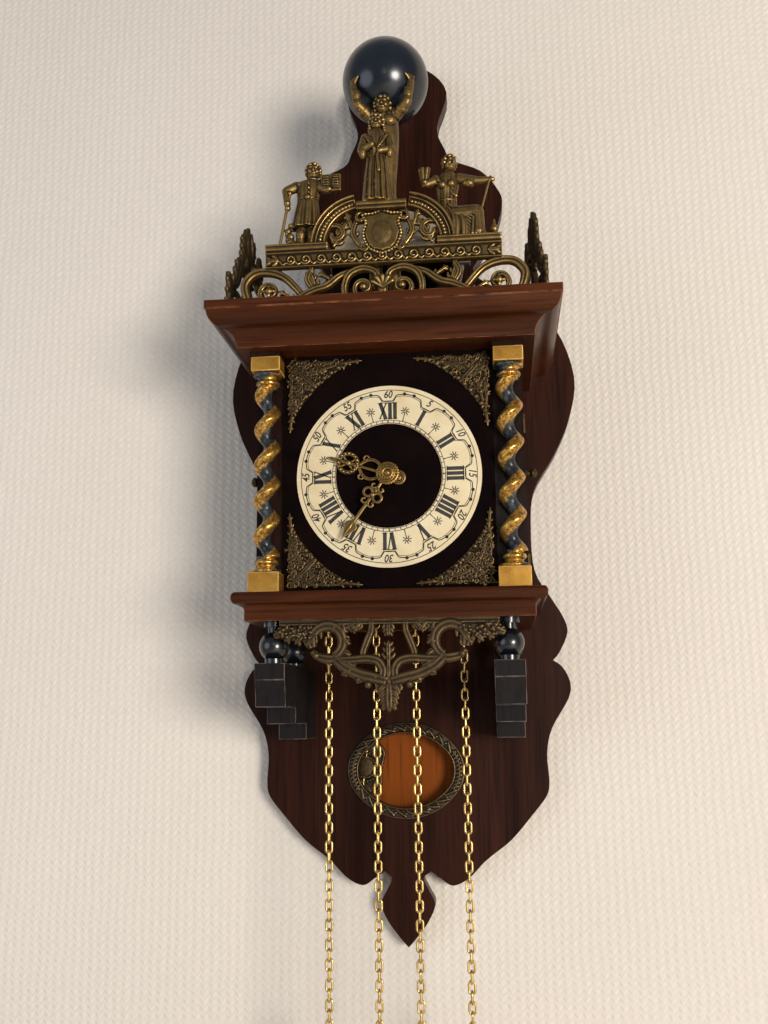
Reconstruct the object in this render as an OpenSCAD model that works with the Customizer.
// Zaandam wall clock: shaped backboard, bracketed case with twist columns, brass crest, chain-driven
// movement and a pendulum that swings behind an oval window. Millimetres, +Z up, front towards -Y.
// The wall is the plane y = 0 and the origin is the hanging hole. Inside the modules, heights are
// counted from the underside of the plinth and depths d from the wall, so a depth d lies at y = -d.

/* [Backboard] */
// Thickness of the backboard
board_t = 18; // [16:0.5:24]
// Height of the board's top above the underside of the plinth
board_top = 553; // [540:1:580]
// Depth of the board's tip below the underside of the plinth
board_tip = 265; // [255:1:290]
// Width of the rounded neck at the top
neck_w = 97; // [88:1:110]
// Width of the narrow part under the neck
neck_waist = 77; // [66:1:84]
// Width over the shoulders
shoulder_w = 195; // [180:1:210]
// Width over the large middle lobes
lobe_w = 317; // [300:1:330]
// Width of the waist behind the case
waist_w = 229; // [222:1:240]
// Width over the ears below the case
ear_w = 287; // [276:1:300]
// Width of the lower skirt
skirt_w = 245; // [236:1:256]
// Width of the bulb at the tip
bulb_w = 46; // [38:1:54]
// Thickness of the panel that closes the pendulum channel at the wall
panel_t = 3; // [2:0.5:4]
// Wood left in front of the pendulum channel
channel_wall = 4; // [3:0.5:6]

/* [Oval window] */
// Width of the oval opening
window_w = 83; // [74:1:90]
// Height of the oval opening
window_h = 63; // [56:1:70]
// Height of the window's centre below the plinth
window_drop = 119.5; // [115:0.5:124]
// Width of the embossed ring round the opening
window_rim = 9.5; // [7:0.5:12]

/* [Hanger] */
// Diameter of the hanging hole
hang_hole = 9; // [6:0.5:12]
// Distance of the hanging hole below the board's top
hang_drop = 23; // [20:0.5:30]

/* [Case] */
// Width of the case body
case_w = 216; // [212:1:220]
// Clear height between plinth and cornice
case_h = 195; // [190:1:200]
// Depth of the case front, from the wall
front_d = 134; // [130:1:140]
// Height of the plinth
plinth_h = 22; // [18:1:26]
// Width of the plinth under its nosing
plinth_w = 224; // [222:1:230]
// How far the plinth's nosing stands out
plinth_out = 9; // [6:0.5:11]
// Width of the cornice at its lower edge
cornice_base_w = 237; // [232:1:242]
// Height of the cornice
cornice_h = 33.5; // [30:0.5:38]
// How far the cornice flares out
cornice_out = 21.5; // [18:0.5:24]
// Thickness of the door frames
door_t = 8; // [7:0.5:9]
// Thickness of the door glass
glass_t = 2; // [1.5:0.5:3]

/* [Columns and feet] */
// Distance of each column's middle from the side of the case
column_in = 11; // [10:0.5:12]
// Side of the square column blocks
block_s = 25; // [23:0.5:26]
// Height of the base blocks
base_block_h = 16; // [13:0.5:18]
// Height of the cap blocks
cap_block_h = 12; // [10:0.5:14]
// Outer diameter of the twisted shaft
twist_d = 21; // [18:0.5:22]
// Rise of the twist in one turn
twist_pitch = 26.5; // [24:0.5:32]
// Diameter of the ball feet
foot_d = 23.5; // [20:0.5:25]
// Height from the brackets to the plinth
foot_h = 32.5; // [30:0.5:36]
// Width of the brackets
bracket_w = 23.5; // [20:0.5:26]
// Distance of the feet and brackets from the side of the case
foot_in = 17; // [15:0.5:20]
// Height of the brackets' front block
bracket_h = 33; // [30:0.5:36]
// Height of each lower step of the brackets
bracket_step = 13; // [11:0.5:15]

/* [Dial] */
// Height of the dial's centre above the plinth
dial_up = 93; // [92:0.5:96]
// Thickness of the velvet dial board
dial_t = 6; // [4:0.5:8]
// Outer diameter of the chapter ring
ring_d = 148; // [140:1:150]
// Inner diameter of the chapter ring
ring_bore = 85; // [80:1:92]
// Thickness of the chapter ring
ring_t = 1; // [0.6:0.1:1.5]
// Length of the minute hand from its centre
minute_len = 65; // [58:1:70]
// Length of the hour hand from its centre
hour_len = 52; // [44:1:54]
// Minute shown at rest
shown_minute = 36; // [0:1:59]
// Hour shown at rest
shown_hour = 9; // [0:1:11]
// Thickness of the hands
hand_t = 1.4; // [1:0.1:1.8]
// Diameter of the rosette nut on the hands
rosette_d = 19; // [14:0.5:22]

/* [Crest] */
// Diameter of the globe
globe_d = 74; // [68:1:80]
// Height of the globe's centre above the cornice
globe_up = 215; // [210:1:222]
// Depth of the globe's centre from the wall
globe_depth = 130; // [124:1:136]
// Depth of the crest's front face from the wall
crest_d = 170; // [164:1:176]
// Thickness of the cast frets
fret_t = 4; // [3:0.5:6]
// Width of the frieze band
frieze_w = 190; // [180:1:200]
// Height of the side frets
side_fret_h = 95; // [84:1:100]

/* [Movement] */
// Depth of the back plate's inner face from the wall
back_plate_d = 50; // [48:0.5:54]
// Distance between the plates
plate_gap = 60; // [58:0.5:62]
// Thickness of the plates
plate_t = 2.5; // [2:0.5:3]
// Width of the plates
plate_w = 124; // [122:1:130]
// Radial play of the pivots in their holes
play = 0.05; // [0.03:0.01:0.1]
// Thickness of the going and strike wheels
wheel_t = 1.6; // [1.2:0.1:2]
// Swing of the pendulum to each side, degrees
swing = 7; // [4:0.5:8]
// Width of the pendulum bob
bob_w = 34; // [26:1:38]
// Diameter of the bell
bell_d = 110; // [104:1:114]

/* [Chains and weights] */
// Wire diameter of the chain
wire_d = 1.8; // [1.5:0.1:2]
// Outer length of a chain link
link_l = 11; // [10:0.1:12]
// Outer width of a chain link
link_w = 6.6; // [6.2:0.1:7]
// Slack between neighbouring links
link_slack = 0.06; // [0.03:0.01:0.12]
// Radius at which the chain runs on its sprocket
chain_r = 19.5; // [19:0.1:20]
// Depth of the chains from the wall
chain_d = 98; // [97:0.5:99]
// Number of links in a weight strand
weight_links = 57; // [40:1:70]
// Number of links in a free strand
free_links = 58; // [40:1:70]
// Diameter of the pear weights
weight_d = 46; // [40:1:52]
// Height of the pear weights
weight_h = 92; // [80:1:110]

/* [Hidden] */
$fn = 48;
eps = 0.01;
hang_z = board_top - hang_drop;

// Height of the case's levels
case_z0 = plinth_h;
case_z1 = plinth_h + case_h;
cornice_z1 = case_z1 + cornice_h;
dial_z = plinth_h + dial_up;
column_d = front_d + block_s/2;
column_z0 = case_z0 + base_block_h;
cap_slab = 4.2;
column_z1 = case_z1 - cap_slab - cap_block_h;
plinth_d = front_d + block_s - 2;
apron_d = plinth_d - 2;
cornice_base_d = front_d + block_s + 9;
cornice_w = cornice_base_w + 2*cornice_out;
dial_front = front_d + dial_t;
column_x = case_w/2 - column_in;
foot_x = case_w/2 - foot_in;
dial_w = 2*(column_x - block_s/2) - 1;
ring_front = dial_front + ring_t;

// Gear train: teeth, modules and arbor places (x, z)
great_n = 72;
centre_pinion_n = 12;
great_m = 0.95;
centre_n = 80;
centre_m = 0.55;
third_pinion_n = 8;
third_n = 80;
third_m = 0.5;
escape_pinion_n = 8;
escape_n = 32;
escape_r = 17;
cannon_n = 20;
minute_wheel_n = 60;
cannon_m = 0.5;
motion_pinion_n = 15;
hour_wheel_n = 60;
motion_m = cannon_m*(cannon_n + minute_wheel_n)/(motion_pinion_n + hour_wheel_n);
pin_n = 72;
pin_m = 0.55;
fly_pinion_n = 8;
sprocket_x = 35.5;
centre_p = [0, dial_z];
great_cd = great_m*(great_n + centre_pinion_n)/2;
great_p = [-sprocket_x, dial_z - sqrt(great_cd*great_cd - sprocket_x*sprocket_x)];
strike_p = [sprocket_x, great_p[1]];
third_cd = centre_m*(centre_n + third_pinion_n)/2;
third_x = -8;
third_p = [third_x, dial_z + sqrt(third_cd*third_cd - third_x*third_x)];
escape_cd = third_m*(third_n + escape_pinion_n)/2;
escape_p = [0, third_p[1] + sqrt(escape_cd*escape_cd - third_x*third_x)];
anchor_up = 26;
anchor_p = [0, escape_p[1] + anchor_up];
minute_wheel_p = [0, dial_z - cannon_m*(cannon_n + minute_wheel_n)/2];
pin_dx = 12.5;
pin_p = strike_p + [pin_dx, sqrt(great_cd*great_cd - pin_dx*pin_dx)];
fly_cd = pin_m*(pin_n + fly_pinion_n)/2;
fly_dx = -8;
fly_p = pin_p + [fly_dx, sqrt(fly_cd*fly_cd - fly_dx*fly_dx)];
front_plate_d = back_plate_d + plate_gap;
seat_t = 10;
plate_z0 = 50;
plate_z1 = anchor_p[1] + 12;
arbor_r = 2.5;
pivot_r = 1.5;
thin_r = 1.3;
thin_pivot_r = 0.8;
fixed_fit = 0.02;
great_d = chain_d - 11;
strike_great_d = chain_d - 17;
centre_wheel_d = back_plate_d + 24;
third_wheel_d = back_plate_d + 12;
escape_wheel_d = back_plate_d + 6;
pin_wheel_d = back_plate_d + 18;
motion_d = front_plate_d + plate_t + 3.5;
hour_d = motion_d + 5;
pipe_r = 4;
hour_hand_d = ring_front + 2;
minute_hand_d = hour_hand_d + hand_t + 2.6;
hand_hub_r = 8.5;
minute_angle = 6*shown_minute;
hour_angle = 30*shown_hour + shown_minute/2;

// Pendulum
pendulum_d = panel_t + (board_t - panel_t - channel_wall)/2;
pendulum_t = 1.6;
bob_t = 5;
bob_h = 64;
bob_drop = anchor_p[1] + window_drop;
crutch_drop = 54;
cock_pin_r = 1.2;
rod_w = 4;
channel_w0 = 44;
channel_w1 = 126;
channel_z0 = -window_drop - 52;
channel_z1 = anchor_p[1] + 20;

// Chains
link_pitch = link_l - wire_d - wire_d - link_slack;
strand_top = great_p[1] + 8;
outer_x = sprocket_x + chain_r;
inner_x = sprocket_x - chain_r;
groove_r = chain_r - link_w/2 - 0.5;
flange_r = chain_r + 2.5;
sprocket_w = 10;

// Curves and placing

// Point on a smooth curve through four neighbours
function curve_at(a, b, c, d, t) =
    0.5*(2*b + (c - a)*t + (2*a - 5*b + 4*c - d)*t*t + (3*b - a - 3*c + d)*t*t*t);
// Smooth curve through a list of points, n steps between neighbours
function smooth(p, n) = [
    for (i = [0:len(p) - 2])
        let (a = p[max(i - 1, 0)], d = p[min(i + 2, len(p) - 1)])
        for (k = [0:n - 1]) curve_at(a, p[i], p[i + 1], d, k/n),
    p[len(p) - 1]];
function mirrored(p) = [for (i = [len(p) - 1:-1:0]) [-p[i][0], p[i][1]]];
function arc(c, r, a0, a1, n) = [for (i = [0:n]) let (a = a0 + (a1 - a0)*i/n) c + r*[cos(a), sin(a)]];
function unit(v) = v/norm(v);
function heading(p, i) = unit(p[min(i + 1, len(p) - 1)] - p[max(i - 1, 0)]);
// Spiral that winds inwards from radius r0 to r1 about c
function spiral(c, r0, r1, a0, a1, n) = [
    for (i = [0:n]) let (t = i/n, a = a0 + (a1 - a0)*t) c + (r0 + (r1 - r0)*t)*[cos(a), sin(a)]];

// Band of width w along a curve, thinning to the share "thin" at its ends
module stroke(p, w, thin = 0.45) {
    n = len(p) - 1;
    half = [for (i = [0:n]) w/2*(thin + (1 - thin)*sin(180*i/n))];
    side = [for (i = [0:n]) let (h = heading(p, i)) [-h[1], h[0]]];
    polygon(concat([for (i = [0:n]) p[i] + half[i]*side[i]],
        [for (i = [n:-1:0]) p[i] - half[i]*side[i]]));
}
// Both halves of a mirrored ornament
module both() {
    children();
    mirror([1, 0, 0]) children();
}
// Moves a module from the plinth's heights to the hanging hole
module hung() translate([0, 0, -hang_z]) children();
// Drawing plane at depth d, seen from the front: x to the right, y up, extruded towards the viewer
module face(d) translate([0, -d, 0]) rotate([90, 0, 0]) children();
module arbor_at(p, d) translate([p[0], -d, p[1]]) rotate([90, 0, 0]) children();
module block(x0, x1, d0, d1, z0, z1) translate([x0, -d1, z0]) cube([x1 - x0, d1 - d0, z1 - z0]);
module limb(a, b, ra, rb, n = 12) hull() {
    translate(a) sphere(ra, $fn = n);
    translate(b) sphere(rb, $fn = n);
}

// Gears

// Toothed disc outline with one tooth on the +x side
module gear2d(n, m) {
    r = n*m/2;
    tip = r + 0.8*m;
    root = r - 1.1*m;
    step = 360/n;
    polygon([for (i = [0:n - 1]) let (a = i*step) each [
        root*[cos(a - 0.30*step), sin(a - 0.30*step)],
        r*[cos(a - 0.19*step), sin(a - 0.19*step)],
        tip*[cos(a - 0.07*step), sin(a - 0.07*step)],
        tip*[cos(a + 0.07*step), sin(a + 0.07*step)],
        r*[cos(a + 0.19*step), sin(a + 0.19*step)],
        root*[cos(a + 0.30*step), sin(a + 0.30*step)]]]);
}
// Crossed-out wheel: toothed rim, hub and four spokes
module wheel(n, m, t, hub_r, turn) {
    rim_r = n*m/2 - 1.1*m - 2.4;
    spoke_w = 3;
    linear_extrude(t) union() {
        difference() {
            rotate(turn) gear2d(n, m);
            circle(rim_r);
        }
        circle(hub_r);
        for (a = [0, 90]) rotate(a) square([2*rim_r + 1, spoke_w], center = true);
    }
}
module pinion(n, m, t, turn) linear_extrude(t) rotate(turn) gear2d(n, m);
// Arbor between the plates with a thinner pivot in each plate
module arbor(p, r, pr) {
    arbor_at(p, back_plate_d + 0.2) cylinder(h = plate_gap - 0.4, r = r);
    arbor_at(p, back_plate_d - plate_t) cylinder(h = plate_gap + 2*plate_t, r = pr);
}
function bearing(a, b) = atan2(b[1] - a[1], b[0] - a[0]);
// Turn that puts a gap of the driven gear opposite the driver's tooth
function meshed(a, b, n) = bearing(a, b) + 180 + 180/n;

// Backboard

board_neck = [[0, board_top], [neck_w/2 - 19, board_top - 6], [neck_w/2, board_top - 31],
    [neck_waist/2, board_top - 68], [neck_waist/2 + 7, board_top - 91], [shoulder_w/2 - 45, 450],
    [shoulder_w/2 - 18, 437], [shoulder_w/2 - 2, 416], [shoulder_w/2 + 1, 401], [shoulder_w/2 - 6, 376],
    [shoulder_w/2 - 20, 352], [shoulder_w/2 - 28, 339]];
board_lobe = [[shoulder_w/2 - 28, 339], [shoulder_w/2 - 22, 328], [lobe_w/2 - 46, 304], [lobe_w/2 - 15, 275],
    [lobe_w/2, 229], [lobe_w/2 - 6, 190], [lobe_w/2 - 21, 156], [waist_w/2 + 4, 124],
    [waist_w/2, 90], [waist_w/2 + 2, 52], [ear_w/2 - 14, 28], [ear_w/2 - 4, 11],
    [ear_w/2 - 0.5, -3], [ear_w/2 - 8, -20], [ear_w/2 - 14, -27]];
board_skirt = [[ear_w/2 - 14, -27], [ear_w/2 - 6, -33], [ear_w/2, -46], [ear_w/2 - 2, -60],
    [skirt_w/2 + 4, -85], [skirt_w/2 - 1, -106], [skirt_w/2, -130], [skirt_w/2 - 3, -142],
    [skirt_w/2 - 16, -158], [skirt_w/2 - 34, -178], [skirt_w/2 - 55, -194], [52, -209], [38.5, -215],
    [28.5, -209.5], [20, -203.7]];
board_bulb = [[20, -203.7], [13.6, -209], [bulb_w/2 - 5, -219], [bulb_w/2, -230],
    [bulb_w/2 - 5.5, 21.5 - board_tip], [7.7, 8.5 - board_tip], [0, -board_tip]];
board_half = concat(smooth(board_neck, 4), smooth(board_lobe, 4), smooth(board_skirt, 4),
    smooth(board_bulb, 4));

// Oval drawn as four tangent arcs, with the given full width and height
module oval(w, h) {
    a = w/2;
    b = h/2;
    small = b*0.72;
    cx = a - small;
    big = (cx*cx + b*b - small*small)/(2*(b - small));
    span = atan2(cx, big - b);
    polygon(concat(arc([0, b - big], big, 90 - span, 90 + span, 16),
        arc([-cx, 0], small, 90 + span, 270 - span, 16),
        arc([0, big - b], big, 270 - span, 270 + span, 16),
        arc([cx, 0], small, 270 + span, 450 - span, 16)));
}
module channel2d() {
    bottom = bob_h/2 + 14;
    polygon([[-channel_w0/2, channel_z1], [-channel_w1/2, -window_drop + bottom],
        [-channel_w1/2, channel_z0], [channel_w1/2, channel_z0],
        [channel_w1/2, -window_drop + bottom], [channel_w0/2, channel_z1]]);
}
panel_edge = 6;
panel_gap = 0.2;
module panel2d(gap) {
    bottom = bob_h/2 + 14 + panel_edge;
    e = panel_edge - gap;
    polygon([[-channel_w0/2 - e, channel_z1 + e], [-channel_w1/2 - e, -window_drop + bottom],
        [-channel_w1/2 - e, channel_z0 - e], [channel_w1/2 + e, channel_z0 - e],
        [channel_w1/2 + e, -window_drop + bottom], [channel_w0/2 + e, channel_z1 + e]]);
}
plate_hang = [46, 22, 1.6];
crutch_slot = [26, 12];
module backboard() color("#4a1f14") hung() difference() {
    face(0) linear_extrude(board_t) polygon(concat(board_half, mirrored(board_half)));
    face(-eps) linear_extrude(board_t - channel_wall + eps) channel2d();
    face(-eps) linear_extrude(panel_t + eps) panel2d(0);
    face(0) linear_extrude(board_t + 1) translate([0, -window_drop]) oval(window_w, window_h);
    translate([-crutch_slot[0]/2, -board_t - 1, anchor_p[1] - crutch_drop - crutch_slot[1]/2])
        cube([crutch_slot[0], board_t, crutch_slot[1]]);
    translate([-plate_hang[0]/2, -plate_hang[2], hang_z - plate_hang[1]/2])
        cube([plate_hang[0], plate_hang[2] + eps, plate_hang[1]]);
    arbor_at([0, hang_z], -eps) cylinder(h = board_t - channel_wall, d = hang_hole + 5);
}
module back_panel() color("#b5651d") hung() face(0) linear_extrude(panel_t) panel2d(panel_gap);
module hanger_plate() color("#b08d57") difference() {
    translate([-plate_hang[0]/2 + 0.1, -plate_hang[2], -plate_hang[1]/2 + 0.1])
        cube([plate_hang[0] - 0.2, plate_hang[2], plate_hang[1] - 0.2]);
    rotate([90, 0, 0]) translate([0, 0, -1]) cylinder(h = plate_hang[2] + 2, d = hang_hole);
    for (s = [-1, 1]) translate([s*plate_hang[0]*0.37, 0, 0]) rotate([90, 0, 0])
        translate([0, 0, -1]) cylinder(h = plate_hang[2] + 2, d = 3.2);
}
// Embossed oval ring: a flat flange with a raised bead
module window_ring() color("#5c4a2a") hung() face(board_t) difference() {
    translate([0, -window_drop]) union() {
        linear_extrude(2) oval(window_w + 2*window_rim, window_h + 2*window_rim);
        linear_extrude(4.5) oval(window_w + 1.4*window_rim, window_h + 1.4*window_rim);
    }
    translate([0, -window_drop, -1]) linear_extrude(9) oval(window_w, window_h);
}

// Case

// Stepped corbel, three steps deep, with a hollowed lower edge on the front block
bracket_top = -foot_h;
bracket_front = front_d + block_s + 1;
bracket_reach = (bracket_front - board_t)/3;
module bracket() {
    z = bracket_top;
    f = bracket_front;
    hollow = bracket_h*0.62;
    rotate([90, 0, 90]) translate([0, 0, -bracket_w/2]) linear_extrude(bracket_w)
        polygon(concat([[-board_t, z], [-f, z], [-f, z - bracket_h + hollow]],
            [for (i = [0:6]) let (a = 15*i) [-f + 5*(1 - cos(a)), z - bracket_h + hollow*(1 - sin(a))]],
            [[-f + bracket_reach, z - bracket_h],
            [-f + bracket_reach, z - bracket_h - bracket_step],
            [-f + 2*bracket_reach, z - bracket_h - bracket_step],
            [-f + 2*bracket_reach, z - bracket_h - 2*bracket_step],
            [-board_t, z - bracket_h - 2*bracket_step]]));
}
module brackets() color("#38202a") hung() for (s = [-1, 1]) translate([s*foot_x, 0, 0]) bracket();

// Turned ball foot with a neck and a base pad
foot_front = apron_d - foot_d/2 - 0.8;
foot_back = board_t + 40;
module foot() {
    r = foot_d/2;
    ball_z = -foot_h + 3 + r*0.9;
    union() {
        translate([0, 0, -foot_h]) cylinder(h = 4, r = r*0.62);
        translate([0, 0, ball_z]) sphere(r);
        translate([0, 0, ball_z]) cylinder(h = -ball_z, r = r*0.42);
        translate([0, 0, -4]) cylinder(h = 4, r = r*0.7);
    }
}
module ball_feet() color("#16161a") hung() difference() {
    for (s = [-1, 1], d = [foot_front, foot_back]) translate([s*foot_x, -d, 0]) foot();
    block(-200, 200, 0, 300, -foot_h - foot_d, -foot_h);
}

// Solid with the same moulding on its front and both sides. prof lists [projection, height].
module moulded(prof, half_w, depth, back) intersection() {
    translate([-300, 0, 0]) rotate([90, 0, 90]) linear_extrude(600) polygon(concat(
        [[-back, prof[0][1]]], [for (p = prof) [-depth - p[0], p[1]]],
        [[-back, prof[len(prof) - 1][1]]]));
    rotate([90, 0, 0]) linear_extrude(600) polygon(concat(
        [for (p = prof) [half_w + p[0], p[1]]],
        [for (i = [len(prof) - 1:-1:0]) [-half_w - prof[i][0], prof[i][1]]]));
}
// Fascia, cove and bullnose, from the bottom up
plinth_fascia = plinth_h*0.36;
plinth_nose = plinth_h*0.42;
plinth_cove = plinth_h - plinth_fascia - plinth_nose;
plinth_prof = concat([[0, 0], [0, plinth_fascia]],
    [for (i = [1:6]) let (a = 15*i) [(plinth_out - 3)*(1 - cos(a)), plinth_fascia + plinth_cove*sin(a)]],
    [for (i = [0:8]) let (a = -90 + 22.5*i)
        [plinth_out - 3 + 3*cos(a), plinth_h - plinth_nose/2 + plinth_nose/2*sin(a)]]);
well_w = 150;
well_d0 = board_t + 14;
well_d1 = front_d - 10;
module plinth() color("#5a2a17") hung() difference() {
    moulded(plinth_prof, plinth_w/2, plinth_d, board_t);
    block(-well_w/2, well_w/2, well_d0, well_d1, -1, plinth_h + 1);
}
// Ogee crown: hollow below, swelling above, closed by a square fillet
crown_fillet = cornice_h*0.2;
crown_run = cornice_h - crown_fillet;
cornice_prof = concat(
    [for (i = [0:8]) let (a = 11.25*i) [cornice_out*0.45*(1 - cos(a)), case_z1 + crown_run*0.52*sin(a)]],
    [for (i = [1:8]) let (a = 11.25*i)
        [cornice_out*(0.45 + 0.5*sin(a)), case_z1 + crown_run*(0.52 + 0.48*(1 - cos(a)))]],
    [[cornice_out, cornice_z1 - crown_fillet], [cornice_out, cornice_z1]]);
top_t = 8;
loft_w = case_w - 28;
loft_d0 = board_t + 14;
loft_d1 = front_d - 4;
module cornice() color("#5a2a17") hung() difference() {
    moulded(cornice_prof, cornice_base_w/2, cornice_base_d, board_t);
    block(-loft_w/2, loft_w/2, loft_d0, loft_d1, case_z1 - 1, cornice_z1 - top_t);
    block(hammer_p[0] - stem_slot, hammer_p[0] + stem_slot, bell_at - 6, bell_at + 6,
        cornice_z1 - top_t - 1, cornice_z1 + 1);
}
post_w = 16;
post_t = 16;
rear_t = 12;
rail_h = 8;
door_gap = 0.5;
side_rail = 3.5;
inner_w = case_w/2 - 12;
module case_frame() color("#3a1710") hung() union() {
    for (s = [-1, 1]) {
        block(min(s*(case_w/2 - 24), s*case_w/2), max(s*(case_w/2 - 24), s*case_w/2),
            front_d - post_t, front_d, case_z0, case_z1);
        block(min(s*(case_w/2 - post_w), s*case_w/2), max(s*(case_w/2 - post_w), s*case_w/2),
            board_t, board_t + rear_t, case_z0, case_z1);
        for (z = [case_z0, case_z1 - side_rail])
            block(min(s*inner_w, s*case_w/2), max(s*inner_w, s*case_w/2),
                board_t, front_d - 2, z, z + side_rail);
        block(s*column_x - block_s/2, s*column_x + block_s/2, front_d, front_d + block_s,
            case_z1 - cap_slab, case_z1);
        block(min(s*(inner_w - 8), s*inner_w), max(s*(inner_w - 8), s*inner_w),
            board_t, front_d - 2, case_z0, plate_z0 - seat_t);
    }
    for (z = [case_z0, case_z1 - rail_h])
        block(-case_w/2 + 10, case_w/2 - 10, front_d - post_t, front_d, z, z + rail_h);
    block(-case_w/2 + 10, case_w/2 - 10, board_t, board_t + 6, case_z1 - rail_h, case_z1);
}
seat_hole = 13;
seat_w = case_w - 2*post_w - 1;
module seat_board() color("#7a4a26") hung() difference() {
    block(-seat_w/2, seat_w/2, board_t + 0.5, front_d - post_t - 0.5, plate_z0 - seat_t, plate_z0);
    for (x = [-outer_x, -inner_x, inner_x, outer_x])
        translate([x, -chain_d, plate_z0 - seat_t - 1]) cylinder(h = seat_t + 2, d = seat_hole);
}

// Columns

// Turned base and capital of the shaft, drawn as [radius, height]
turn_h = 13;
shaft_core = twist_d/2*0.66;
end_r = block_s/2 - 2.75;
module turned_end() rotate_extrude() polygon([[0, 0], [end_r + 1.5, 0], [end_r + 2, 1.2],
    [end_r + 1.5, 2.6], [end_r - 1.5, 3.4], [end_r - 2.5, 5.6], [end_r - 0.6, 7.2],
    [end_r - 0.2, 8.6], [end_r - 0.8, 10], [end_r - 2.6, 11.2], [shaft_core + 1, turn_h],
    [0, turn_h]]);
module column() {
    run = column_z1 - column_z0 - 2*turn_h;
    shift = twist_d/2 - shaft_core;
    union() {
        translate([0, 0, column_z0]) turned_end();
        translate([0, 0, column_z1]) mirror([0, 0, 1]) turned_end();
        translate([0, 0, column_z0 + turn_h])
            linear_extrude(run, twist = -360*run/twist_pitch, slices = 60)
            translate([shift, 0]) circle(shaft_core, $fn = 18);
    }
}
module left_column() color("#6d6a58") hung() translate([-column_x, -column_d, 0]) column();
module right_column() color("#6d6a58") hung() translate([column_x, -column_d, 0]) column();
module column_blocks() color("#c79a3c") hung() for (s = [-1, 1]) {
    block(s*column_x - block_s/2, s*column_x + block_s/2, front_d, front_d + block_s, case_z0,
        column_z0);
    block(s*column_x - block_s/2 + 0.6, s*column_x + block_s/2 - 0.6, front_d, front_d + block_s - 0.6,
        column_z1, column_z1 + cap_block_h);
}

// Dial

module dial_plate() color("#23090d") hung() face(front_d) difference() {
    translate([0, (case_z0 + case_z1)/2]) linear_extrude(dial_t)
        square([dial_w, case_h - 1], center = true);
    translate([0, dial_z, -1]) cylinder(h = dial_t + 2, r = pipe_r + 0.6);
}
module chapter_ring() color("#e9dcb8") hung() face(dial_front) translate([0, dial_z]) difference() {
    cylinder(h = ring_t, d = ring_d);
    translate([0, 0, -1]) cylinder(h = ring_t + 2, d = ring_bore);
}
// Leafy corner piece: two long scrolls along the edges and a fan in the corner
spandrel_s = 58;
module spandrel2d() {
    s = spandrel_s;
    for (flip = [0, 1]) mirror(flip ? [1, -1] : [0, 0]) {
        stroke(smooth([[3, 3], [s*0.30, 5], [s*0.62, 3.4], [s*0.95, 2.6]], 5), 6.5);
        stroke(spiral([s*0.34, 13], 8.5, 2, -120, 260, 16), 4.4, 0.7);
        stroke(smooth([[s*0.4, 6], [s*0.58, 10], [s*0.74, 6]], 5), 4.6);
        stroke(smooth([[s*0.16, 7], [s*0.36, 25], [s*0.30, 36]], 5), 5);
    }
    polygon([[1, 1], [17, 3], [21, 21], [3, 17]]);
    translate([18, 18]) circle(6);
}
module spandrels() color("#7d6234") hung() face(dial_front) for (sx = [-1, 1], sz = [-1, 1])
    translate([-sx*(dial_w/2 - 2.5), (case_z0 + case_z1)/2 - sz*(case_h/2 - 4)])
        mirror([sx < 0 ? 1 : 0, 0, 0]) mirror([0, sz < 0 ? 1 : 0, 0])
            linear_extrude(3) spandrel2d();

// Hands, drawn pointing up

module hour_blade(len) {
    lobe = len*0.65;
    difference() {
        union() {
            circle(6.4);
            translate([0, -8.5]) circle(6.4);
            polygon([[-2.2, 0], [2.2, 0], [1.5, lobe], [-1.5, lobe]]);
            both() stroke(smooth([[3, 5], [7.5, len*0.24], [6.5, len*0.37], [1, len*0.47]], 4), 3, 0.7);
            translate([0, lobe]) circle(9.2);
            polygon([[-2, lobe + 8], [2, lobe + 8], [1.3, len*0.9], [0, len], [-1.3, len*0.9]]);
        }
        for (s = [-1, 1]) translate([s*4, lobe + 0.5]) circle(2.8);
    }
}
module minute_blade(len) {
    lobe = len*0.32;
    difference() {
        union() {
            circle(6);
            polygon([[-2.2, 0], [2.2, 0], [1.5, len*0.74], [-1.5, len*0.74]]);
            for (s = [-1, 1]) translate([s*4.3, lobe]) circle(4.6);
            translate([0, lobe + 6]) circle(3.6);
            polygon([[-1.5, len*0.7], [-5.2, len*0.77], [-3.6, len*0.84], [0, len], [3.6, len*0.84],
                [5.2, len*0.77], [1.5, len*0.7]]);
        }
        for (s = [-1, 1]) translate([s*5, lobe]) circle(2);
    }
}
module hour_hand() color("#6e5a36") hung() arbor_at(centre_p, hour_hand_d) difference() {
    union() {
        linear_extrude(hand_t) rotate(-hour_angle) hour_blade(hour_len);
        cylinder(h = hand_t + 1.6, r = hand_hub_r);
    }
    translate([0, 0, -1]) cylinder(h = hand_t + 4, r = pipe_r + fixed_fit);
}
module minute_hand() color("#6e5a36") hung() arbor_at(centre_p, minute_hand_d) difference() {
    linear_extrude(hand_t) rotate(-minute_angle) minute_blade(minute_len);
    translate([0, 0, -1]) cylinder(h = hand_t + 2, r = arbor_r + fixed_fit);
}
// Stepped rosette with petals
petals = 8;
module hand_nut() color("#8a7148") hung() arbor_at(centre_p, minute_hand_d + hand_t) difference() {
    union() {
        for (i = [0:petals - 1]) rotate(i*360/petals) translate([rosette_d*0.33, 0, 0])
            cylinder(h = 2.2, r = rosette_d*0.17);
        cylinder(h = 3.4, r = rosette_d*0.27);
        translate([0, 0, 3.2]) cylinder(h = 1.8, r1 = rosette_d*0.2, r2 = rosette_d*0.13);
    }
    translate([0, 0, -1]) cylinder(h = 4, r = arbor_r + fixed_fit);
}

// Crest

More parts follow.
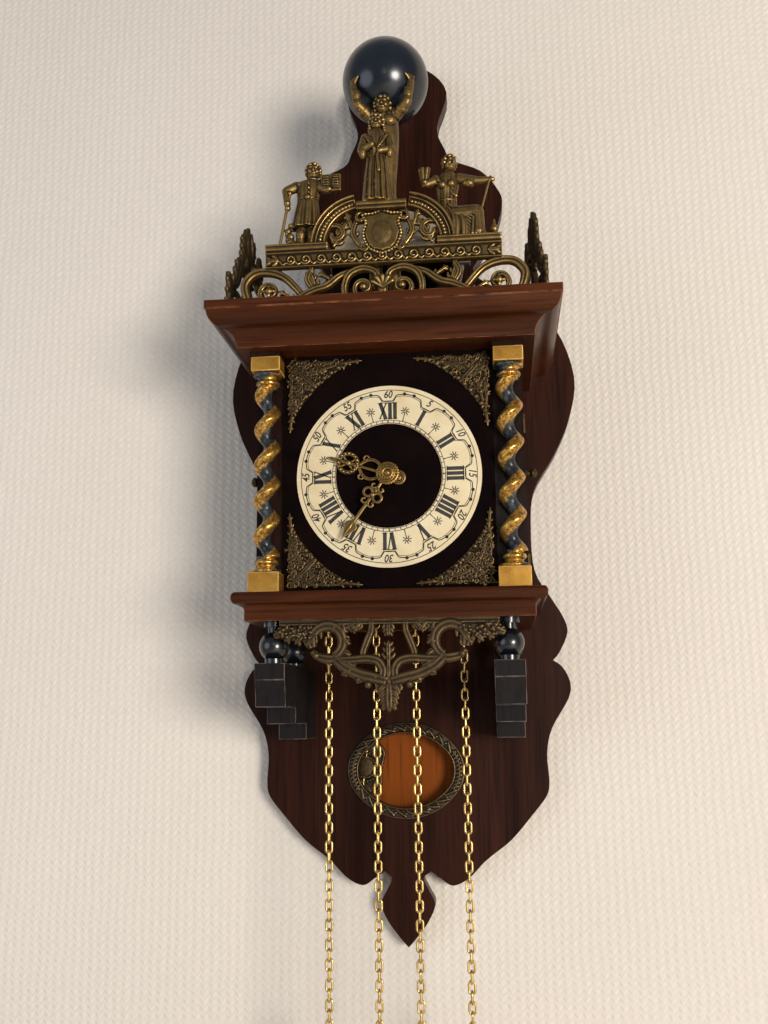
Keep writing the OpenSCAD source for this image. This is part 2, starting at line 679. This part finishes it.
fret_z0 = cornice_z1;
frieze_h = 14;
frieze_z = cornice_z1 + 31;
ledge_z = frieze_z + frieze_h;
module crest_scrolls2d() translate([0, fret_z0]) {
    both() {
        stroke(smooth([[3, 16], [6, 25], [16.5, 28.5], [27, 24], [31, 14], [30, 2]], 6), 6, 0.8);
        stroke(spiral([15.5, 12], 8.5, 2.5, -90, 250, 18), 4.6, 0.7);
        stroke(smooth([[25, 27], [35, 23], [45, 15.5], [55, 12.5], [65, 8], [76, 2]], 6), 6.4);
        stroke(smooth([[56, 12], [61, 22], [57, 31]], 6), 5.4, 0.7);
        stroke(smooth([[64, 7], [78, 23], [91, 29], [104, 28.5], [112, 20], [110.5, 9], [106, 2]], 6), 6.6);
        stroke(spiral([92, 12], 9, 2.8, -90, 250, 18), 4.8, 0.7);
    }
    stroke([[0, 2], [0, 12], [0, 22]], 9);
    translate([-112, 0]) square([224, 4]);
}
arch_c = [16, ledge_z + 4];
arch_r = 43;
arch_w = 13;
module pediment2d() both() {
    intersection() {
        translate(arch_c) difference() {
            circle(arch_r, $fn = 96);
            circle(arch_r - arch_w, $fn = 96);
        }
        translate(arch_c + [6.5, -1]) square(arch_r + 10);
    }
    stroke(spiral(arch_c + [22, 10], 9, 3, 0, 380, 18), 4.6, 0.7);
    stroke(smooth([[16, ledge_z - 1], [24, ledge_z + 14], [18, ledge_z + 28]], 5), 5);
}
shield_z = ledge_z + 13;
shield_half = smooth([[0, -20], [11, -15], [16.5, -2], [14, 9], [17, 16], [8, 17], [0, 20]], 4);
module shield2d() translate([0, shield_z]) polygon(concat(mirrored(shield_half), shield_half));
ledge_back = 22;
module crest_fret() color("#8a6d35") hung() face(crest_d - fret_t) union() {
    linear_extrude(fret_t) crest_scrolls2d();
    translate([-frieze_w/2, frieze_z - 1, 0]) cube([frieze_w, frieze_h + 1, fret_t + 1]);
    linear_extrude(fret_t + 1) pediment2d();
    linear_extrude(fret_t + 3) shield2d();
    translate([-20, shield_z + 18, -5]) cube([40, 6, fret_t + 13]);
    both() translate([44, ledge_z - 0.5, -ledge_back]) cube([51, 7, fret_t + ledge_back + 3]);
}
figure_d = crest_d - fret_t/2;
base_t = 2;
ledge_top = ledge_z + 6.5;
// The side figures stand behind the arches, on the ledges
side_figure_d = crest_d - fret_t - 10.5;
// Standing figure in a belted coat, with a staff and a book
module left_figure() color("#8a6d35") hung() translate([-64, -side_figure_d, ledge_top]) union() {
    translate([-10, -5, 0]) cube([20, 10, base_t]);
    translate([-25, -7, 0]) cube([16, 6, base_t + 1]);
    limb([-5, 0, 5], [-3, 0, 25.5], 4, 4.6);
    limb([5, 0, 5], [4, 0, 25.5], 4, 4.6);
    limb([0, 0, 23], [1, 0, 48.5], 9.4, 8.4);
    limb([-7, 0, 56.5], [9, 0, 56.5], 4.8, 4.8);
    limb([5.6, 0, 58.5], [5.6, 0, 69], 5, 7);
    limb([-9, -1, 56.5], [-17, -3, 53], 3.6, 3.2);
    limb([-17, -3, 53], [-15.5, -4, 38], 3, 2.4);
    limb([-22, -4, 3.5], [-14.5, -4, 46], 1.5, 1.5, 8);
    limb([11, -1, 55], [18, -4, 51.5], 3.6, 3);
    translate([13, -8, 50]) cube([16, 5, 14]);
}
// Seated figure with one arm stretched out over a thin rod
module right_figure() color("#8a6d35") hung() translate([52, -side_figure_d, ledge_top]) union() {
    translate([-8, -5, 0]) cube([36, 10, base_t]);
    limb([0, 0, 10.2], [0, 0, 23.5], 10, 9);
    limb([0, 0, 23.5], [0, 0, 49], 8.8, 8);
    limb([-8, 0, 55], [9, 0, 56], 4.5, 4.5);
    limb([2, 0, 57.5], [2.6, 0, 70], 4.8, 6.4);
    limb([4, -2, 21], [24, -4, 23.5], 6.6, 5.4);
    limb([24, -4, 23.5], [23, -4, 5], 4.8, 4);
    limb([4, 0, 14], [15, 1, 5.5], 5.5, 4);
    limb([10, -1, 56], [24, -3, 52], 3.6, 3);
    limb([24, -3, 52], [36, -3, 52], 2.8, 2.2);
    limb([35, -3, 51.5], [27, -4, 24.5], 1.1, 1.1, 8);
    limb([-9, -1, 54], [-16, -4, 51.5], 3.4, 2.8);
    limb([-18, -4, 51.5], [-18, -4, 63], 4.4, 3);
}
centre_z = shield_z + 24;
ball_z = cornice_z1 + globe_up;
// The bearer stands in front of the globe, which lies on the shoulders and against both palms
bearer_fwd = 20;
shoulder_r = 12;
hand_r = 3;
seat_gap = 0.05;
shoulder_z = globe_up - sqrt(pow(globe_d/2 + shoulder_r + seat_gap, 2) - bearer_fwd*bearer_fwd);
function palm(s) = [0, bearer_fwd, globe_up]
    + (globe_d/2 + hand_r + seat_gap)*unit([s*0.62, -0.72, -0.3]);
// Robed figure in front and the bearer of the globe behind it
module centre_figures() color("#8a6d35") hung() union() {
    translate([-3.5, -figure_d - 3, centre_z]) {
        cylinder(h = 34, r1 = 11, r2 = 8.5, $fn = 24);
        limb([0, 0, 32], [0, 0, 57], 9, 8.4);
        limb([-8, -2, 57], [-11, -5, 39], 4, 3.4);
        limb([8, -2, 57], [4, -8, 43], 4, 3.4);
        limb([0, 0, 67], [0, 0, 73], 5.8, 6);
    }
    translate([0, -globe_depth - bearer_fwd, cornice_z1]) {
        for (s = [-1, 1]) let (elbow = [s*20.5, -8, globe_up - 37]) {
            limb([s*8, 0, 6], [s*6, 0, 84], 5.5, 6.5);
            limb([s*11, 0, shoulder_z], elbow, 4.4, 3.6);
            limb(elbow, palm(s), 3.6, hand_r);
        }
        limb([0, 0, 86], [0, 0, shoulder_z], 9, shoulder_r);
        translate([0, -7, globe_up - 37]) sphere(8.4, $fn = 20);
        translate([-19, -10, 0]) cube([38, 20, 3]);
    }
}
module globe() color("#10141f") hung() translate([0, -globe_depth, ball_z]) sphere(globe_d/2, $fn = 96);
// Pierced side galleries on top of the cornice
side_fret_x = cornice_w/2 - 18;
side_fret_l = 84;
side_fret_toe = 11;
side_fret_d = crest_d - fret_t - 6 - side_fret_l/2;
// Low scrolled post at the front, tall leaf in the middle, shoulder at the back
module side_fret2d() {
    h = side_fret_h;
    l = side_fret_l;
    translate([-l/2, 0]) square([l, 4]);
    both() {
        stroke(spiral([l*0.27, h*0.17], 12, 3, -90, 290, 20), 5.4, 0.7);
        stroke(smooth([[l*0.06, 2], [l*0.10, h*0.22], [0, h*0.42]], 6), 6, 0.8);
        stroke(smooth([[0, h*0.62], [l*0.10, h*0.76], [l*0.05, h*0.95]], 6), 5, 0.8);
    }
    stroke(smooth([[-l*0.46, 2], [-l*0.42, h*0.20], [-l*0.46, h*0.40]], 6), 8, 0.5);
    stroke(smooth([[-l*0.44, h*0.26], [-l*0.26, h*0.36], [-l*0.16, h*0.60], [-l*0.08, h*0.78]], 6), 7);
    stroke(smooth([[l*0.46, 2], [l*0.40, h*0.40], [l*0.22, h*0.50], [l*0.28, h*0.79]], 6), 7);
    stroke(spiral([l*0.12, h*0.52], 9, 2.5, -90, 250, 18), 4.8, 0.7);
    stroke(spiral([-l*0.10, h*0.50], 8, 2.5, 270, -70, 18), 4.6, 0.7);
    stroke(smooth([[0, h*0.3], [0.5, h*0.6], [0, h*0.99]], 6), 11, 0.3);
}
module side_frets() color("#6e5528") hung() for (s = [-1, 1])
    translate([s*side_fret_x, -side_fret_d, cornice_z1]) rotate([0, 0, s*side_fret_toe])
        translate([-fret_t/2, 0, 0]) rotate([90, 0, 90]) linear_extrude(fret_t) side_fret2d();
// Hanging fret under the front of the plinth: leafy border, C-scrolls, a lower band and a leaf pendant
apron_w = 178;
apron_drop = 71;
pendant_half = smooth([[0, 33], [7, 24], [11, 14], [5, 8], [0, 0]], 4);
module apron2d() {
    w = apron_w/2;
    translate([-w, -5]) square([apron_w, 5]);
    both() {
        stroke(smooth([[w - 2, -4], [w - 12, -12], [w - 26, -15], [w - 38, -10]], 6), 13, 0.5);
        stroke(arc([w - 46, -18.5], 11, 40, 330, 20), 6.4, 0.75);
        stroke(smooth([[w - 47, -30], [w - 60, -38], [19, -43], [8, -46], [1, -44]], 6), 6.6, 0.8);
        stroke(smooth([[18, -3], [14, -16], [21, -29], [21, -40]], 6), 5, 0.8);
        translate([11.5, -37]) difference() {
            circle(6.6);
            circle(3);
        }
    }
    translate([0, -apron_drop]) polygon(concat(mirrored(pendant_half), pendant_half));
    stroke(smooth([[0, -3], [0.3, -14], [0, -24], [0.2, -44]], 6), 7, 0.7);
}
module apron_fret() color("#7d6234") hung() face(apron_d) linear_extrude(fret_t) apron2d();

// Doors: hinged at the rear, glazed

door_z0 = case_z0 + side_rail + door_gap;
door_z1 = case_z1 - side_rail - door_gap;
door_d0 = board_t + rear_t + door_gap;
door_d1 = front_d - post_t - door_gap;
door_x1 = case_w/2;
door_x0 = case_w/2 - door_t;
door_stile = 14;
knuckle_r = 2.4;
hinge_pin_r = 1.1;
hinge_x = case_w/2 + knuckle_r + 0.2;
hinge_d = board_t + rear_t;
hinge_h = 18;
hinge_zs = [door_z0 + 30, door_z1 - 30];
leaf_t = 1;
module door() difference() {
    block(door_x0, door_x1, door_d0, door_d1, door_z0, door_z1);
    block(door_x0 - 1, door_x1 + 1, door_d0 + door_stile, door_d1 - door_stile,
        door_z0 + door_stile, door_z1 - door_stile);
    block(door_x0 + 2, door_x0 + 2 + glass_t, door_d0 + door_stile - 4, door_d1 - door_stile + 4,
        door_z0 + door_stile - 4, door_z1 - door_stile + 4);
}
glass_gap = 0.1;
module door_pane() block(door_x0 + 2 + glass_gap, door_x0 + 2 + glass_t - glass_gap,
    door_d0 + door_stile - 4 + glass_gap, door_d1 - door_stile + 4 - glass_gap,
    door_z0 + door_stile - 4 + glass_gap, door_z1 - door_stile + 4 - glass_gap);
// Door side of the hinges, with the middle knuckle, and the turned knob
module door_brass() {
    for (z = hinge_zs) difference() {
        union() {
            translate([hinge_x, -hinge_d, z - hinge_h/6 + 0.15])
                cylinder(h = hinge_h/3 - 0.3, r = knuckle_r);
            block(case_w/2, case_w/2 + leaf_t, hinge_d, hinge_d + 9, z - hinge_h/6 + 0.15,
                z + hinge_h/6 - 0.15);
        }
        translate([hinge_x, -hinge_d, z - hinge_h]) cylinder(h = 2*hinge_h, r = hinge_pin_r + play);
    }
    translate([door_x1, -(door_d1 - door_stile/2), (door_z0 + door_z1)/2]) rotate([0, 90, 0])
        rotate_extrude() polygon([[0, 0], [3, 0], [3, 1], [1.6, 2], [1.6, 4], [4, 6], [4, 8], [2.4, 9.6],
            [0, 10]]);
}
module case_hinge() for (z = hinge_zs) {
    translate([hinge_x, -hinge_d, z - hinge_h/2]) cylinder(h = hinge_h, r = hinge_pin_r);
    for (k = [-1, 1]) union() {
        translate([hinge_x, -hinge_d, z + k*hinge_h/3 - hinge_h/6])
            cylinder(h = hinge_h/3, r = knuckle_r);
        block(case_w/2, case_w/2 + leaf_t, hinge_d - 9, hinge_d, z + k*hinge_h/3 - hinge_h/6,
            z + k*hinge_h/3 + hinge_h/6);
    }
}
module door_hinges() color("#b08d57") hung() both() case_hinge();
module left_door() color("#5a2a17") hung() mirror([1, 0, 0]) door();
module right_door() color("#5a2a17") hung() door();
module left_glass() color("#cfe3e6", 0.4) hung() mirror([1, 0, 0]) door_pane();
module right_glass() color("#cfe3e6", 0.4) hung() door_pane();
module left_door_brass() color("#b08d57") hung() mirror([1, 0, 0]) door_brass();
module right_door_brass() color("#b08d57") hung() door_brass();

// Movement plates

pillar_r = 3.5;
low_pillar = [36, 56];
high_pillar = [plate_w/2 - 4, plate_z1 - 6];
pillars = [[-low_pillar[0], low_pillar[1]], low_pillar, [-high_pillar[0], high_pillar[1]], high_pillar];
hammer_p = [56, plate_z1 - 26];
module plate_holes(d, centre_r) {
    for (a = [[great_p, pivot_r], [strike_p, pivot_r], [centre_p, centre_r], [third_p, thin_pivot_r],
        [escape_p, thin_pivot_r], [pin_p, thin_pivot_r], [fly_p, thin_pivot_r], [hammer_p, thin_pivot_r]])
        arbor_at(a[0], d) cylinder(h = 3*plate_t, r = a[1] + play, center = true);
}
module front_plate() color("#c9a24a") hung() difference() {
    union() {
        block(-plate_w/2, plate_w/2, front_plate_d, front_plate_d + plate_t, plate_z0, plate_z1);
        arbor_at(minute_wheel_p, front_plate_d + plate_t) cylinder(h = hour_d - front_plate_d + 1.5, r = 1.2);
    }
    plate_holes(front_plate_d, arbor_r);
    arbor_at(anchor_p, front_plate_d) cylinder(h = 3*plate_t, r = thin_pivot_r + play, center = true);
}
module back_plate() color("#c9a24a") hung() difference() {
    union() {
        block(-plate_w/2, plate_w/2, back_plate_d - plate_t, back_plate_d, plate_z0, plate_z1);
        for (p = pillars) arbor_at(p, back_plate_d) cylinder(h = plate_gap, r = pillar_r);
    }
    plate_holes(back_plate_d, pivot_r);
    arbor_at(anchor_p, back_plate_d) cylinder(h = 3*plate_t, r = pivot_r + play, center = true);
}

// Going train

cannon_turn = bearing(centre_p, minute_wheel_p);
module centre_wheel() color("#d0a94e") hung() union() {
    arbor_at(centre_p, back_plate_d - plate_t) cylinder(h = plate_t + 1, r = pivot_r);
    arbor_at(centre_p, back_plate_d + 0.2)
        cylinder(h = minute_hand_d + hand_t + 1.8 - back_plate_d, r = arbor_r);
    arbor_at(centre_p, centre_wheel_d) wheel(centre_n, centre_m, wheel_t, 5, bearing(centre_p, third_p));
    arbor_at(centre_p, great_d - 2)
        pinion(centre_pinion_n, great_m, 6, meshed(great_p, centre_p, centre_pinion_n));
    arbor_at(centre_p, motion_d) pinion(cannon_n, cannon_m, 4, cannon_turn);
}
module minute_wheel() color("#d0a94e") hung() arbor_at(minute_wheel_p, motion_d + 0.8) difference() {
    union() {
        wheel(minute_wheel_n, cannon_m, wheel_t, 5, meshed(centre_p, minute_wheel_p, minute_wheel_n));
        pinion(motion_pinion_n, motion_m, hour_d - motion_d + 1.6, bearing(minute_wheel_p, centre_p));
    }
    translate([0, 0, -1]) cylinder(h = 20, r = 1.2 + play);
}
module hour_wheel() color("#d0a94e") hung() arbor_at(centre_p, hour_d) difference() {
    union() {
        wheel(hour_wheel_n, motion_m, wheel_t, 6, meshed(minute_wheel_p, centre_p, hour_wheel_n));
        cylinder(h = hour_hand_d + hand_t + 1.6 - hour_d, r = pipe_r);
    }
    translate([0, 0, -1]) cylinder(h = 60, r = arbor_r + play);
}
module going_great_wheel() color("#d0a94e") hung() union() {
    arbor(great_p, arbor_r, pivot_r);
    arbor_at(great_p, great_d) wheel(great_n, great_m, wheel_t + 0.6, 7, bearing(great_p, centre_p));
}
module third_wheel() color("#d0a94e") hung() union() {
    arbor(third_p, thin_r, thin_pivot_r);
    arbor_at(third_p, third_wheel_d) wheel(third_n, third_m, wheel_t, 4, bearing(third_p, escape_p));
    arbor_at(third_p, centre_wheel_d - 1.5)
        pinion(third_pinion_n, centre_m, 5, meshed(centre_p, third_p, third_pinion_n));
}
// Escape wheel with raked teeth
module escape2d() {
    step = 360/escape_n;
    polygon([for (i = [0:escape_n - 1]) let (a = i*step) each [
        (escape_r - 3)*[cos(a), sin(a)], escape_r*[cos(a + 0.34*step), sin(a + 0.34*step)],
        escape_r*[cos(a + 0.42*step), sin(a + 0.42*step)],
        (escape_r - 3)*[cos(a + 0.55*step), sin(a + 0.55*step)]]]);
}
module escape_wheel() color("#d0a94e") hung() union() {
    arbor(escape_p, thin_r, thin_pivot_r);
    arbor_at(escape_p, third_wheel_d - 1)
        pinion(escape_pinion_n, third_m, 4, meshed(third_p, escape_p, escape_pinion_n));
    arbor_at(escape_p, escape_wheel_d) linear_extrude(wheel_t) union() {
        difference() {
            escape2d();
            circle(escape_r - 5.4);
        }
        circle(3.4);
        for (a = [0, 90]) rotate(a) square([2*escape_r - 10, 2.2], center = true);
    }
}
// Anchor over the escape wheel, with the crutch behind the back plate
crutch_d = board_t + 10;
nib_r = escape_r + 2.3;
anchor_band = 3.2;
module pallet_anchor() color("#8c8c92") hung() swung() union() {
    arbor_at(anchor_p, crutch_d) cylinder(h = front_plate_d - 0.2 - crutch_d, r = pivot_r);
    arbor_at(anchor_p, front_plate_d - 1) cylinder(h = plate_t + 1, r = thin_pivot_r);
    face(escape_wheel_d) linear_extrude(wheel_t) union() {
        translate(anchor_p) circle(3.6);
        translate(escape_p) polygon(concat(arc([0, 0], nib_r + anchor_band + 0.6, 46, 134, 14),
            arc([0, 0], nib_r + 1, 134, 46, 14)));
        for (a = [48, 132]) translate(escape_p) rotate(a) translate([nib_r, -1.6]) square([3, 3.2]);
    }
    face(crutch_d) linear_extrude(1.6) union() {
        translate(anchor_p) circle(3);
        translate([-1.4, anchor_p[1] - crutch_drop]) square([2.8, crutch_drop]);
        translate([0, anchor_p[1] - crutch_drop]) circle(2.2);
    }
    arbor_at([0, anchor_p[1] - crutch_drop], pendulum_d - pendulum_t/2 + 0.1)
        cylinder(h = crutch_d - pendulum_d + 1, r = 1);
}

// Pendulum, drawn hanging and then turned to the left end of its swing

module swung() translate([0, 0, anchor_p[1]]) rotate([0, swing, 0]) translate([0, 0, -anchor_p[1]])
    children();
rod_end = anchor_p[1] - bob_drop - bob_h/2 - 12;
module pendulum_rod() color("#a58a52") hung() swung() difference() {
    union() {
        face(pendulum_d - pendulum_t/2) linear_extrude(pendulum_t) union() {
            translate(anchor_p) circle(3.2);
            translate([-rod_w/2, -window_drop + bob_h/2]) square([rod_w, bob_drop - bob_h/2]);
            translate([0, anchor_p[1] - crutch_drop]) circle(4);
        }
        translate([0, -pendulum_d, rod_end]) cylinder(h = bob_h + 14, r = pendulum_t/2);
    }
    arbor_at(anchor_p, 0) cylinder(h = board_t, r = cock_pin_r + play);
    arbor_at([0, anchor_p[1] - crutch_drop], 0) cylinder(h = board_t, r = 1.2);
}
// Cast bob: a scrolled oval plaque with a raised oval boss
bob_half = smooth([[0, 0.5], [0.22, 0.46], [0.30, 0.36], [0.5, 0.24], [0.46, 0], [0.5, -0.24],
    [0.30, -0.36], [0.22, -0.46], [0, -0.5]], 4);
module bob2d() polygon([for (q = concat(bob_half, mirrored(bob_half))) [q[0]*bob_w, q[1]*bob_h]]);
module pendulum_bob() color("#6b5126") hung() swung() difference() {
    face(pendulum_d - bob_t/2) translate([0, -window_drop]) union() {
        linear_extrude(bob_t*0.7) bob2d();
        linear_extrude(bob_t) oval(bob_h*0.5, bob_w*0.6);
    }
    translate([0, -pendulum_d, rod_end - 1]) cylinder(h = bob_h + 20, r = pendulum_t/2 + play);
}
module rating_nut() color("#b08d57") hung() swung() translate([0, -pendulum_d, rod_end + 4]) difference() {
    cylinder(h = 3, r = 4);
    translate([0, 0, -1]) cylinder(h = 5, r = pendulum_t/2 + play);
}
cock_w = 16;
module pendulum_cock() color("#b08d57") hung() union() {
    block(-cock_w/2, cock_w/2, board_t - channel_wall - 3, board_t - channel_wall,
        anchor_p[1] - 8, anchor_p[1] + 14);
    arbor_at(anchor_p, panel_t + 0.6) cylinder(h = board_t - channel_wall - panel_t - 1, r = cock_pin_r);
}

// Strike train

module strike_great_wheel() color("#d0a94e") hung() union() {
    arbor(strike_p, arbor_r, pivot_r);
    arbor_at(strike_p, strike_great_d) wheel(great_n, great_m, wheel_t + 0.6, 7, bearing(strike_p, pin_p));
}
lift_pins = 8;
lift_r = 16.3;
module pin_wheel() color("#d0a94e") hung() union() {
    arbor(pin_p, thin_r, thin_pivot_r);
    arbor_at(pin_p, strike_great_d - 2)
        pinion(centre_pinion_n, great_m, 6, meshed(strike_p, pin_p, centre_pinion_n));
    arbor_at(pin_p, pin_wheel_d) wheel(pin_n, pin_m, wheel_t, 4, bearing(pin_p, fly_p));
    for (i = [0:lift_pins - 1]) let (a = 360*i/lift_pins + 12)
        arbor_at(pin_p + lift_r*[cos(a), sin(a)], pin_wheel_d - 5) cylinder(h = 5.2, r = 0.9);
}
fly_span = 20;
module fly() color("#b9bcc0") hung() union() {
    arbor(fly_p, thin_r, thin_pivot_r);
    arbor_at(fly_p, pin_wheel_d - 1.2) pinion(fly_pinion_n, pin_m, 4, meshed(pin_p, fly_p, fly_pinion_n));
    arbor_at(fly_p, front_plate_d - 20) linear_extrude(16) union() {
        circle(2.6);
        rotate(35) square([fly_span, 0.8], center = true);
    }
}
// Hammer: an arbor with a stem that rises through the cornice beside the bell and a tail over the pins
bell_lift = 63;
bell_z = cornice_z1 + bell_lift;
bell_at = back_plate_d + plate_gap/2;
hammer_d = bell_at;
stem_r = 1.5;
stem_slot = 11;
hammer_r = 5;
head_l = 12;
strike_gap = 1;
head_p = [bell_d/2 + strike_gap + head_l/2, bell_z + hammer_r + 1];
module hammer() color("#8c8c92") hung() union() {
    arbor(hammer_p, thin_r, thin_pivot_r);
    face(hammer_d - stem_r) linear_extrude(2*stem_r) union() {
        translate(hammer_p) circle(3);
        stroke(smooth([hammer_p, hammer_p + [-9, 20], hammer_p + [-6, 82], head_p], 6), 3, 1);
    }
    face(pin_wheel_d - 4) linear_extrude(2*stem_r) union() {
        translate(hammer_p) circle(3);
        stroke(smooth([hammer_p, hammer_p + [4, -9], hammer_p + [3, -17]], 4), 2.4, 1);
    }
    translate([head_p[0] - head_l/2, -hammer_d, head_p[1]]) rotate([0, 90, 0])
        cylinder(h = head_l, r = hammer_r);
}
// Bell: a thin cup on a post that stands on the cornice
bell_h = bell_d*0.47;
bell_wall = 1.8;
module bell() color("#cdb36a") hung() translate([0, -bell_at, bell_z]) rotate_extrude() polygon(concat(
    [for (i = [0:8]) let (a = 11.25*i) [bell_d/2*cos(a) + 2.2*(1 - cos(a)), bell_h*sin(a)]],
    [[2.2, bell_h - bell_wall]],
    [for (i = [7:-1:0]) let (a = 11.25*i)
        [(bell_d/2 - bell_wall)*cos(a) + 2.2*(1 - cos(a)), (bell_h - bell_wall)*sin(a)]]));
module bell_stand() color("#8c8c92") hung() translate([0, -bell_at, cornice_z1]) union() {
    cylinder(h = 3, r = 12);
    cylinder(h = 12, r1 = 8, r2 = 3.8);
    cylinder(h = bell_lift + bell_h - bell_wall - 0.2, r = 3.8);
    cylinder(h = bell_lift + bell_h + 6, r = 2.1);
    translate([0, 0, bell_lift + bell_h + 0.05]) cylinder(h = 3, r = 4.5, $fn = 6);
}

// Chains: oval links, every other one turned a quarter

module link() {
    bend = link_w/2 - wire_d/2;
    straight = link_l/2 - link_w/2;
    union() for (s = [-1, 1]) {
        translate([s*bend, 0, -straight]) cylinder(h = 2*straight, d = wire_d);
        translate([0, 0, s*straight]) rotate([90, 0, 0]) rotate([0, 0, s < 0 ? 180 : 0])
            rotate_extrude(angle = 180) translate([bend, 0]) circle(d = wire_d);
    }
}
module strand(x, count) translate([x, -chain_d, strand_top]) for (i = [0:count - 1])
    translate([0, 0, -i*link_pitch]) rotate([0, 0, 90*(i % 2)]) link();
// Ring through the last link of a free strand
end_ring_r = 8;
module end_ring(x, count) translate([x, -chain_d, strand_top - (count - 1)*link_pitch - link_l/2
    + wire_d*1.5 + link_slack - end_ring_r]) rotate([0, 0, 90*(count % 2)]) rotate([90, 0, 0])
    rotate_extrude() translate([end_ring_r, 0]) circle(d = wire_d);
// Pear weight with the eye that takes the last link
module weight(x, count) translate([x, -chain_d, strand_top - count*link_pitch]) union() {
    rotate([0, 0, 90*(count % 2)]) link();
    eye = link_l/2 - wire_d*1.2;
    top_r = 4.6;
    rotate_extrude() polygon(concat([[0, -eye], [top_r, -eye]],
        smooth([[top_r, -eye], [top_r + 0.6, -eye - 8], [weight_d*0.24, -eye - weight_h*0.26],
            [weight_d*0.43, -eye - weight_h*0.52], [weight_d*0.5, -eye - weight_h*0.72],
            [weight_d*0.40, -eye - weight_h*0.90], [0, -eye - weight_h]], 4)));
}
module sprocket(p) arbor_at(p, chain_d - sprocket_w/2) difference() {
    rotate_extrude() polygon([[arbor_r + play, 0], [flange_r, 0], [flange_r, 1], [groove_r, 1.4],
        [groove_r, sprocket_w - 1.4], [flange_r, sprocket_w - 1], [flange_r, sprocket_w],
        [arbor_r + play, sprocket_w]]);
    for (i = [0:5]) rotate(60*i) translate([groove_r*0.6, 0, -1]) cylinder(h = sprocket_w + 2, r = 3);
}
module going_sprocket() color("#d0a94e") hung() sprocket(great_p);
module strike_sprocket() color("#d0a94e") hung() sprocket(strike_p);
module going_weight_chain() color("#d9b44a") hung() strand(-outer_x, weight_links);
module going_free_chain() color("#d9b44a") hung() union() {
    strand(-inner_x, free_links);
    end_ring(-inner_x, free_links);
}
module strike_weight_chain() color("#d9b44a") hung() strand(outer_x, weight_links);
module strike_free_chain() color("#d9b44a") hung() union() {
    strand(inner_x, free_links);
    end_ring(inner_x, free_links);
}
module going_weight() color("#c9a445") hung() weight(-outer_x, weight_links);
module strike_weight() color("#c9a445") hung() weight(outer_x, weight_links);

backboard();
back_panel();
hanger_plate();
window_ring();
brackets();
ball_feet();
plinth();
case_frame();
cornice();
left_column();
right_column();
column_blocks();
dial_plate();
chapter_ring();
spandrels();
crest_fret();
left_figure();
right_figure();
centre_figures();
globe();
side_frets();
apron_fret();
door_hinges();
seat_board();
front_plate();
back_plate();
bell();
bell_stand();
pendulum_cock();
left_door();
left_glass();
left_door_brass();
right_door();
right_glass();
right_door_brass();
centre_wheel();
minute_hand();
hand_nut();
hour_wheel();
hour_hand();
minute_wheel();
going_great_wheel();
third_wheel();
escape_wheel();
going_sprocket();
pallet_anchor();
pendulum_rod();
pendulum_bob();
rating_nut();
strike_great_wheel();
pin_wheel();
fly();
hammer();
strike_sprocket();
going_weight_chain();
going_free_chain();
strike_weight_chain();
strike_free_chain();
going_weight();
strike_weight();
